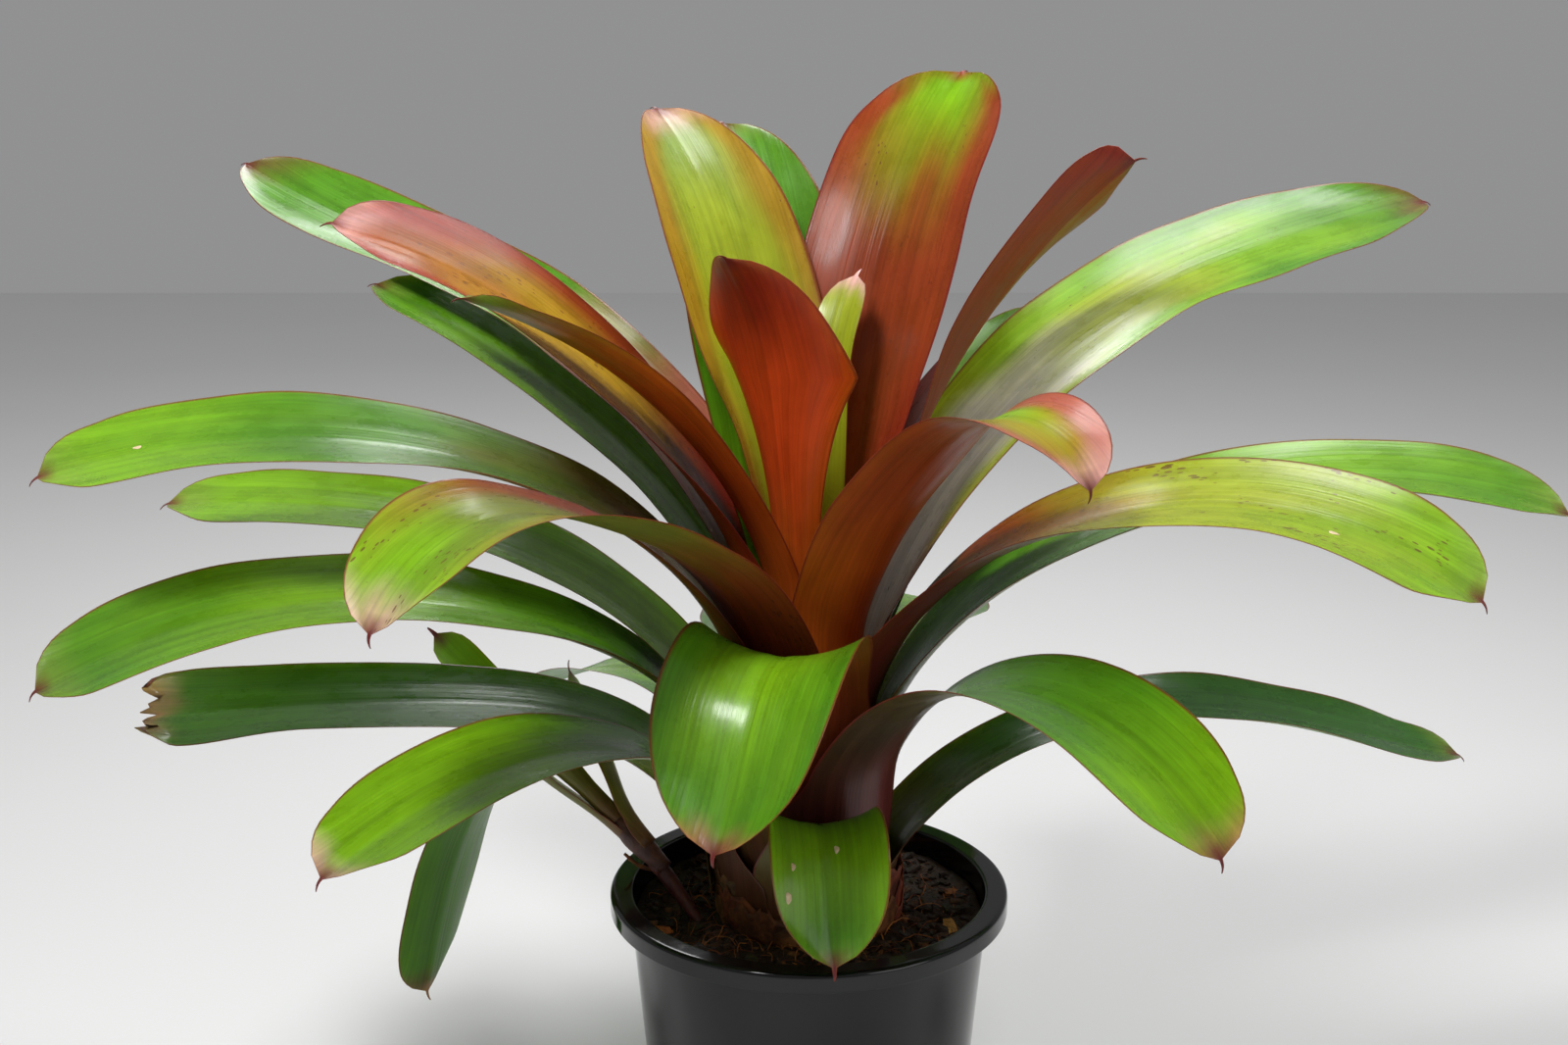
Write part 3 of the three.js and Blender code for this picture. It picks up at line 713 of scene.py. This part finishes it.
def pot_material():
    """Black moulded plastic: glossy, with a little dust and fine rubbing."""
    n = Nodes("pot_plastic")
    place = n.add("ShaderNodeTexCoord").outputs["Object"]
    dust = n.noise(place, scale=26, detail=6, rough=0.65)
    rub = n.noise(n.scaled(place, (220, 220, 14)), detail=3)
    flow = n.noise(n.scaled(place, (9, 9, 3)), detail=2)
    colour = n.blend(n.fit(dust, 0.55, 0.85, 0.0, 0.2), POT_PLASTIC, POT_DUST)
    n.link(colour, n.shader.inputs["Base Color"])
    rough = n.math("ADD", n.fit(dust, 0.4, 0.8, 0.09, 0.22), n.fit(rub, 0.55, 0.8, 0.0, 0.08))
    n.link(rough, n.shader.inputs["Roughness"])
    n.set(Specular_IOR_Level=0.4)
    n.bump(n.math("ADD", n.math("MULTIPLY", rub, 0.06), flow), 0.25, 0.0008)
    return n.material


def wood_material(name, light, dark, scale, roughness=0.85, wet=0.0):
    """Bark, mix, stem, sheath and scars: each piece's own tint, grained and pitted."""
    n = Nodes(name)
    place = n.add("ShaderNodeTexCoord").outputs["Object"]
    grain = n.noise(place, scale=scale, detail=8, rough=0.7, distort=0.6)
    pits = n.voronoi(place, scale=scale * 2.2)
    tint = n.attribute("tint", "Color")
    tone = n.blend(n.fit(grain, 0.3, 0.7), dark, light)
    n.link(n.blend(1.0, tint, tone, "MULTIPLY"), n.shader.inputs["Base Color"])
    n.link(n.fit(grain, 0.3, 0.75, roughness - 0.3 - wet, roughness), n.shader.inputs["Roughness"])
    n.set(Specular_IOR_Level=0.35)
    n.bump(n.math("ADD", grain, n.math("MULTIPLY", pits, 0.5)), 0.8, 0.0012)
    return n.material


def floor_material():
    """Pale matt studio floor."""
    n = Nodes("studio_floor")
    place = n.add("ShaderNodeTexCoord").outputs["Object"]
    soft = n.noise(place, scale=3, detail=4)
    n.link(n.blend(soft, *FLOOR_TONES), n.shader.inputs["Base Color"])
    n.set(Roughness=0.85, Specular_IOR_Level=0.2)
    return n.material


# ---------------------------------------------------------------- pot

def pot_radius(z):
    return RIM_RADIUS - RIM_STEP - POT_TAPER * (1 - z / POT_HEIGHT)


def arc(cx, cz, radius, start, end, steps):
    """Profile points round a corner, from one angle to another in degrees."""
    return [(cx + radius * math.cos(mix(start, end, k / steps) * DEG),
             cz + radius * math.sin(mix(start, end, k / steps) * DEG)) for k in range(steps + 1)]


def line(a, b, steps):
    """Evenly spaced profile points from a to b."""
    return [(mix(a[0], b[0], k / steps), mix(a[1], b[1], k / steps)) for k in range(steps + 1)]


def lathe(profile, around):
    """Closed ring of profile points turned about the axis, both ends on it."""
    points, faces = [], []
    inner = profile[1:-1]
    points.append((0, 0, profile[0][1]))
    for r, z in inner:
        for j in range(around):
            a = 2 * math.pi * j / around
            points.append((r * math.cos(a), r * math.sin(a), z))
    points.append((0, 0, profile[-1][1]))
    end = len(points) - 1
    for j in range(around):
        k = (j + 1) % around
        faces.append((0, 1 + k, 1 + j))
        for i in range(len(inner) - 1):
            a, b = 1 + i * around, 1 + (i + 1) * around
            faces.append((a + j, a + k, b + k, b + j))
        last = 1 + (len(inner) - 1) * around
        faces.append((last + j, last + k, end))
    return points, faces


def pot_profile():
    """Half section of the pot: under its foot, up its outside, over the lip and down inside."""
    w = POT_WALL
    top = POT_HEIGHT
    foot = pot_radius(0)
    ridge = foot - RING_INSET
    pad = ridge - CHANNEL_WIDTH
    slope = FOOT_HEIGHT
    under = top - w
    rim_low = top - RIM_DEPTH
    outer = [(0, 0), *line((pad * 0.5, 0), (pad, 0), 3), (pad + 0.3, 0.1), (pad + slope, slope),
             *line((pad + slope + 0.5, slope), (ridge - 0.5, slope), 6), (ridge, slope),
             (ridge + slope, 0), *arc(foot - FOOT_ROUND, FOOT_ROUND, FOOT_ROUND, -90, 0, 4)]
    wall = line((pot_radius(2), 2), (pot_radius(under - 2), under - 2), 24)
    step = [*arc(pot_radius(under) + STEP_ROUND, under - STEP_ROUND, STEP_ROUND, 180, 90, 4),
            (RIM_RADIUS - w - 0.8, under), (RIM_RADIUS - w, under - 0.8),
            (RIM_RADIUS - w, rim_low + 0.5)]
    lip = [*arc(RIM_RADIUS - w + RIM_ROUND, rim_low + RIM_ROUND, RIM_ROUND, 180, 270, 3),
           *arc(RIM_RADIUS - RIM_ROUND, rim_low + RIM_ROUND, RIM_ROUND, -90, 0, 3),
           *line((RIM_RADIUS, rim_low + 1.2), (RIM_RADIUS, top - 3), 4),
           *arc(RIM_RADIUS - LIP_ROUND, top - LIP_ROUND, LIP_ROUND, 0, 90, 8)]
    inside = [*line((RIM_RADIUS - 4, top), (pot_radius(top) - w + 2, top), 3),
              *arc(pot_radius(top) - w + INSIDE_ROUND, top - INSIDE_ROUND, INSIDE_ROUND, 90, 180, 5),
              *line((pot_radius(top) - w, top - 2), (foot - w, w + 1), 24)]
    floor_in = [(foot - w - 1, w), (ridge + slope + 0.4 * w, w), (ridge + 0.4 * w, slope + w),
                *line((ridge, slope + w), (pad + slope, slope + w), 5),
                (pad + slope - 0.4 * w, slope + w), (pad - 0.4 * w, w), (pad * 0.5, w), (0, w)]
    return outer + wall + step + lip + inside + floor_in


def make_pot(material):
    """The pot turned from its half section, with its drain holes cut."""
    points, faces = lathe(pot_profile(), 144)
    pot = make_object("pot_shell", points, faces, material)
    for i in range(DRAIN_COUNT):
        turn = (i + 0.5) * 2 * math.pi / DRAIN_COUNT
        bpy.ops.mesh.primitive_cylinder_add(
            vertices=40, radius=DRAIN_RADIUS * MM, depth=0.03,
            location=(DRAIN_CIRCLE * MM * math.cos(turn), DRAIN_CIRCLE * MM * math.sin(turn), 0))
        cutter = bpy.context.object
        cut = pot.modifiers.new("drain", "BOOLEAN")
        cut.operation = "DIFFERENCE"
        cut.solver = "EXACT"
        cut.object = cutter
        bpy.context.view_layer.objects.active = pot
        bpy.ops.object.modifier_apply(modifier=cut.name)
        bpy.data.objects.remove(cutter)
    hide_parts("pot")


# ---------------------------------------------------------------- soil and bark

def soil_height(x, y):
    """Height of the mix at a place."""
    slow = math.sin(x * 0.11 + 1.3) * math.cos(y * 0.13 - 0.6)
    fine = noise.noise(Vector((x * 0.11, y * 0.11, 2))) + 0.6 * noise.noise(Vector((x * 0.4, y * 0.4, 5)))
    return SOIL_TOP + 0.9 * slow + 1.4 * fine


def make_soil(material):
    """The mix: a rough top on a body that follows the inside of the pot."""
    edge = pot_radius(SOIL_TOP) - POT_WALL - CLEAR
    around = 220
    rings = 64
    foot = pot_radius(0) - POT_WALL - 1
    floor = FOOT_HEIGHT + POT_WALL + 0.6
    points, faces = lathe([(0, floor), (foot * 0.5, floor), (foot, floor), (edge, SOIL_TOP - 6),
                           *line((edge, SOIL_TOP), (1.5, SOIL_TOP), rings), (0, SOIL_TOP)], around)
    shaped = []
    for x, y, z in points:
        if z > SOIL_TOP - 0.5:
            z = soil_height(x, y)
        shaped.append((x, y, z))
    tint = [(*mix(np.array((0.8, 0.8, 0.8)), np.array((1.3, 1.1, 0.9)),
                  0.5 + noise.noise(Vector((x * 0.07, y * 0.07, 9)))), 1) for x, y, z in shaped]
    soil = make_object("potting_mix", shaped, faces, material, {"tint": tint})
    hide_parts("soil")


def turned(a, b, angle):
    """Two coordinates turned by an angle, from the first towards the second."""
    c, s = math.cos(angle), math.sin(angle)
    return a * c - b * s, a * s + b * c


def chip_points(rng, size, heading, lean, centre):
    """A split bark chip: a slab of rough corners, thinner at its ends."""
    long, wide, thick = size
    points = []
    steps = (-1, -0.5, 0, 0.5, 1)
    section = ((-1, -0.5), (-1, 0.5), (-0.3, 1), (0.4, 0.9),
               (1, 0.5), (1, -0.5), (0.3, -1), (-0.4, -0.9))
    for a in steps:
        for b, c in section:
            taper = 1 - 0.45 * a * a * rng.uniform(0.5, 1)
            x = 0.5 * long * (a + rng.uniform(-0.12, 0.12))
            y = 0.5 * wide * b * taper * rng.uniform(0.8, 1.1)
            z = 0.5 * thick * c * taper * rng.uniform(0.6, 1.2)
            points.append((x, y, z))
    placed = []
    for x, y, z in points:
        y, z = turned(y, z, lean * DEG)
        z, x = turned(z, x, 0.7 * lean * DEG)
        x, y = turned(x, y, heading * DEG)
        placed.append((centre[0] + x, centre[1] + y, centre[2] + z))
    return placed, ring_faces(len(steps), len(section))


def tube(path, radii, sides):
    """Closed tube through points, with a radius at each."""
    path = [Vector(p) for p in path]
    points = []
    normal = None
    for i, p in enumerate(path):
        along = (path[min(i + 1, len(path) - 1)] - path[max(i - 1, 0)]).normalized()
        if normal is None:
            normal = along.orthogonal().normalized()
        normal = (normal - along * normal.dot(along)).normalized()
        other = along.cross(normal)
        for j in range(sides):
            a = 2 * math.pi * j / sides
            points.append(p + normal * (radii[i] * math.cos(a)) + other * (radii[i] * math.sin(a)))
    return points, ring_faces(len(path), sides)


class Pile:
    """Gathers many small closed pieces into one mesh."""

    def __init__(self):
        self.points, self.faces, self.tint = [], [], []

    def add(self, points, faces, colour):
        first = len(self.points)
        self.points += [tuple(p) for p in points]
        self.faces += [tuple(first + v for v in f) for f in faces]
        self.tint += [(*colour, 1.0)] * len(points)

    def make(self, name, material, flat=False):
        return make_object(name, self.points, self.faces, material, {"tint": self.tint}, flat)


def crumb_colour(rng):
    """Mostly dark mix, some bark, a little pale husk and a little green."""
    tone = rng.random()
    if tone < 0.06:
        return (4.5, 3.0, 1.8)
    if tone < 0.12:
        return (0.9, 1.3, 0.4)
    if tone < 0.35:
        return (1.8, 1.3, 0.9)
    return (0.7, 0.6, 0.55)


def make_litter(bark, mix_material):
    """Loose crumbs and fibres of the potting mix."""
    rng = random.Random(11)
    crumbs = Pile()
    outer = pot_radius(SOIL_TOP) - POT_WALL - 4
    for _ in range(CRUMB_COUNT):
        r = math.sqrt(rng.uniform(0.3, 1)) * outer
        a = rng.uniform(0, 2 * math.pi)
        long = rng.choice((2.5, 3.5, 4.5, 6, 8)) * rng.uniform(0.8, 1.2)
        r = min(r, outer - 0.4 * long)
        x, y = r * math.cos(a), r * math.sin(a)
        size = (long, long * rng.uniform(0.45, 0.8), long * rng.uniform(0.25, 0.5))
        centre = (x, y, soil_height(x, y) + 0.15 * size[2])
        points, faces = chip_points(rng, size, rng.uniform(0, 360), rng.uniform(-35, 35), centre)
        crumbs.add(points, faces, crumb_colour(rng))
    crumbs.make("loose_crumbs", mix_material, flat=True)
    fibres = Pile()
    for _ in range(FIBRE_COUNT):
        r = math.sqrt(rng.uniform(0.35, 1)) * (outer - 8)
        a = rng.uniform(0, 2 * math.pi)
        x, y = r * math.cos(a), r * math.sin(a)
        head = rng.uniform(0, 2 * math.pi)
        bend = rng.uniform(-0.5, 0.5)
        length = rng.uniform(8, 24)
        arch = rng.uniform(0.5, 4)
        path = []
        for k in range(8):
            f = k / 7
            path.append((x, y, soil_height(x, y) + 0.3 + arch * math.sin(math.pi * f)))
            x = x + math.cos(head + bend * f * 3) * length / 7
            y = y + math.sin(head + bend * f * 3) * length / 7
            scale = min(1, (outer - 1) / max(math.hypot(x, y), 1))
            x, y = x * scale, y * scale
        thick = rng.uniform(0.15, 0.4)
        points, faces = tube(path, [thick * (1 - 0.5 * k / 7) for k in range(8)], 5)
        fibres.add(points, faces, rng.choice(((2.0, 1.3, 0.8), (3.0, 2.1, 1.2), (1.2, 0.7, 0.5))))
    fibres.make("root_fibres", bark)


def make_bark(material):
    """Split chips lying where the CAD chips lie, each of three rough layers."""
    rng = random.Random(5)
    for i, (size, turn, lean) in enumerate(BARK, 1):
        low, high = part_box(f"bark_{i}")
        centre = (low + high) / 2 / MM
        pile = Pile()
        colour = PALE_CHIP_TINT if i in PALE_CHIPS else CHIP_TINTS[i % 2]
        for layer in range(3):
            shift = (layer - 1) * size[2] * 0.3
            part = (size[0] * rng.uniform(0.75, 1), size[1] * rng.uniform(0.75, 1), size[2] * 0.45)
            at = (centre.x + rng.uniform(-0.6, 0.6), centre.y + rng.uniform(-0.6, 0.6), centre.z + shift)
            points, faces = chip_points(rng, part, turn, lean, at)
            pile.add(points, faces, tuple(c * rng.uniform(0.8, 1.2) for c in colour))
        chip = pile.make(f"bark_chip_{i}", material, flat=True)
        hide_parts(f"bark_{i}")


# ---------------------------------------------------------------- stem, shoot, twig

def make_stem(material):
    """Short trunk under the leaves, covered with the scales of old leaf bases."""
    rng = random.Random(3)
    pile = Pile()
    base = HEART_RADIUS + LEAF_LAYER * len(LEAVES) - 4
    top = CROWN_FOOT + LEAF_PITCH * len(LEAVES)
    profile = [(0, SOIL_TOP - 40), (base * 0.5, SOIL_TOP - 38), (base * 0.9, SOIL_TOP - 8)]
    steps = 26
    for k in range(steps + 1):
        f = k / steps
        z = mix(SOIL_TOP, top, f)
        ring = 0.5 * math.sin(k * 2.2)
        r = base if z < CROWN_FOOT else mix(base, HEART_RADIUS - 2, (z - CROWN_FOOT) / (top - CROWN_FOOT))
        profile.append((r + ring, z))
    profile.append((0, top + 1))
    points, faces = lathe(profile, 96)
    pile.add(points, faces, (0.8, 0.6, 0.5))
    for k in range(SCALE_COUNT):
        az = k * LEAF_TURN + rng.uniform(-8, 8)
        z = mix(SOIL_TOP + 1, CROWN_FOOT + 14, k / (SCALE_COUNT - 1))
        r = base + 0.9 + 0.04 * (CROWN_FOOT - z)
        spec = leaf(az, rng.uniform(16, 26), rng.uniform(30, 44), 8, (84, 80, 74, 62), wave=0)
        points, faces = scale_piece(spec, r, z - 6, rng)
        pile.add(points, faces, tuple(c * rng.uniform(0.7, 1.5) for c in (1.2, 0.75, 0.5)))
    stem = pile.make("stem_scales", material)
    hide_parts("stem")


def scale_piece(spec, radius, foot, rng):
    """One dry papery scale hugging the stem, ragged along its top."""
    around, rows = 11, 6
    half = 0.5 * spec["wide"] / radius
    outer, inner = [], []
    jag = [rng.uniform(0.65, 1) for _ in range(around)]
    for i in range(rows):
        f = i / (rows - 1)
        for j in range(around):
            u = 2 * j / (around - 1) - 1
            a = spec["az"] * DEG + u * half
            rise = foot + spec["len"] * f * jag[j] * (1 - 0.45 * u * u)
            r = radius + 1.0 * f * f - 0.6 * u * u
            outer.append((r * math.cos(a), r * math.sin(a), rise))
            inner.append(((r - 0.5) * math.cos(a), (r - 0.5) * math.sin(a), rise))
    points = []
    for i in range(rows):
        points += outer[i * around:(i + 1) * around]
        points += inner[i * around:(i + 1) * around][::-1]
    return points, strip_ends(rows, 2 * around)


def shoot_place(p):
    """From the shoot's upright frame to where it leans out of the pot."""
    z, x = turned(p.z, p.x, SHOOT_LEAN * DEG)
    x, y = turned(x, p.y, SHOOT_AZ * DEG)
    return Vector((x, y, z)) + Vector(SHOOT_NODE)


def make_shoot(skin, blade):
    """The side shoot: a jointed runner with a collar, and its narrow leaves."""
    foot, bend, node = (Vector(p) for p in (SHOOT_FOOT, SHOOT_BEND, SHOOT_NODE))
    path, radii = [], []
    steps = 40
    for k in range(steps + 1):
        t = k / steps
        path.append(foot * (1 - t) ** 2 + bend * (2 * t * (1 - t)) + node * t * t)
        joint = (k % 10) / 10
        radii.append(mix(2.6, 4.3, smooth(0, 0.9, t)) * (1.08 - 0.12 * joint))
    pile = Pile()
    points, faces = tube(path, radii, 20)
    pile.add(points, faces, (1.1, 0.8, 0.8))
    lean = shoot_place(Vector((0, 0, 1))) - node
    collar = [node + lean * mix(-14, 20, k / 12) for k in range(13)]
    swell = [mix(4.4, 6.6, smooth(0, 8, k)) - 1.6 * smooth(8, 12, k) for k in range(13)]
    points, faces = tube(collar, swell, 24)
    pile.add(points, faces, (1.0, 0.9, 0.7))
    stem = pile.make("runner_sheath", skin)
    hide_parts("shoot_stem")
    for i, spec in enumerate(SHOOT_LEAVES, 1):
        start = (SHOOT_START + SHOOT_LAYER * (len(SHOOT_LEAVES) - 1 - i), SHOOT_PITCH * (i - 1))
        points, faces, marks = leaf_mesh(spec, start, 60 + i, shoot_place)
        made = make_object(f"shoot_blade_{i}", points, faces, blade, marks)
        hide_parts(f"shoot_leaf_{i}")


def make_twig(material):
    """Dry forked twig with a few knots."""
    pile = Pile()
    for stick in TWIG:
        count = 30
        path, radii = [], []
        for k in range(count + 1):
            t = k / count
            path.append(tuple(through([p[c] for p in stick], t) for c in range(3)))
            knot = 0.35 * math.exp(-((t * 4) % 1 - 0.5) ** 2 / 0.01)
            radii.append(mix(1.35, 0.8, t) + knot)
        points, faces = tube(path, radii, 10)
        pile.add(points, faces, (1.6, 1.2, 0.9))
    twig = pile.make("forked_twig", material)
    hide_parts("dry_twig")


# ---------------------------------------------------------------- stage

def area_light(name, place, size, power):
    """Round soft light that looks at the plant and stays out of the picture."""
    data = bpy.data.lights.new(name, "AREA")
    data.shape = "DISK"
    data.size = size
    data.energy = power
    lamp = bpy.data.objects.new(name, data)
    lamp.location = place
    lamp.visible_camera = False
    lamp.rotation_euler = (Vector(LIGHT_TARGET) - Vector(place)).to_track_quat("-Z", "Y").to_euler()
    bpy.context.scene.collection.objects.link(lamp)


def make_stage():
    """Floor, even grey surroundings and the four lights."""
    half = FLOOR_SIZE / 2
    mesh = bpy.data.meshes.new("studio_floor")
    corners = [(-half, -half, 0), (half, -half, 0), (half, half, 0), (-half, half, 0)]
    mesh.from_pydata(corners, [], [(0, 1, 2, 3)])
    mesh.materials.append(floor_material())
    floor = bpy.data.objects.new("studio_floor", mesh)
    bpy.context.scene.collection.objects.link(floor)
    world = bpy.data.worlds.new("studio")
    world.use_nodes = True
    background = world.node_tree.nodes["Background"]
    background.inputs["Color"].default_value = WORLD_GREY
    background.inputs["Strength"].default_value = WORLD_STRENGTH
    bpy.context.scene.world = world
    bpy.context.scene.view_settings.view_transform = "Standard"
    for name, place, size, power in LIGHTS:
        area_light(name, place, size, power)


def make_camera():
    """Camera in front of the plant, looking slightly down."""
    data = bpy.data.cameras.new("camera")
    data.lens = CAMERA_LENS
    data.sensor_width = 36
    data.clip_start = 0.01
    camera = bpy.data.objects.new("camera", data)
    camera.location = CAMERA_PLACE
    camera.rotation_euler = ((90 - CAMERA_PITCH) * DEG, 0, 0)
    bpy.context.scene.collection.objects.link(camera)
    bpy.context.scene.camera = camera


# ---------------------------------------------------------------- build

make_camera()
leaf_looks = {slot: leaf_material(slot, *finish) for slot, finish in LEAF_FINISH.items()}
for order, spec in enumerate(LEAVES, 1):
    node = f"leaf_{order:02d}"
    slot = leaf_slot(node)
    points, faces, marks = leaf_mesh(spec, crown_start(order), order)
    made = make_object(f"blade_{order:02d}", points, faces, leaf_looks[slot], marks)
    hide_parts(node)

scars = Pile()
for order, spec in enumerate(LEAVES, 1):
    for scar in spec["scars"]:
        scar_mesh(scars, spec, crown_start(order), order, scar)
scars.make("leaf_scars", wood_material("scar", (0.85, 0.74, 0.58), (0.6, 0.46, 0.3), 300))

mix_material = wood_material("potting_mix", (0.060, 0.034, 0.020), (0.012, 0.007, 0.004), 260, wet=0.1)
bark_material = wood_material("bark", (0.25, 0.125, 0.05), (0.07, 0.032, 0.013), 190)
stem_material = wood_material("stem_tissue", (0.20, 0.10, 0.04), (0.045, 0.02, 0.012), 120)
sheath_material = wood_material("shoot_sheath", (0.14, 0.05, 0.035), (0.05, 0.02, 0.02), 90, roughness=0.6)
make_pot(pot_material())
make_soil(mix_material)
make_litter(bark_material, mix_material)
make_bark(bark_material)
make_stem(stem_material)
make_shoot(sheath_material, leaf_looks["leaf_green"])
make_twig(bark_material)
make_stage()

bpy.context.view_layer.update()
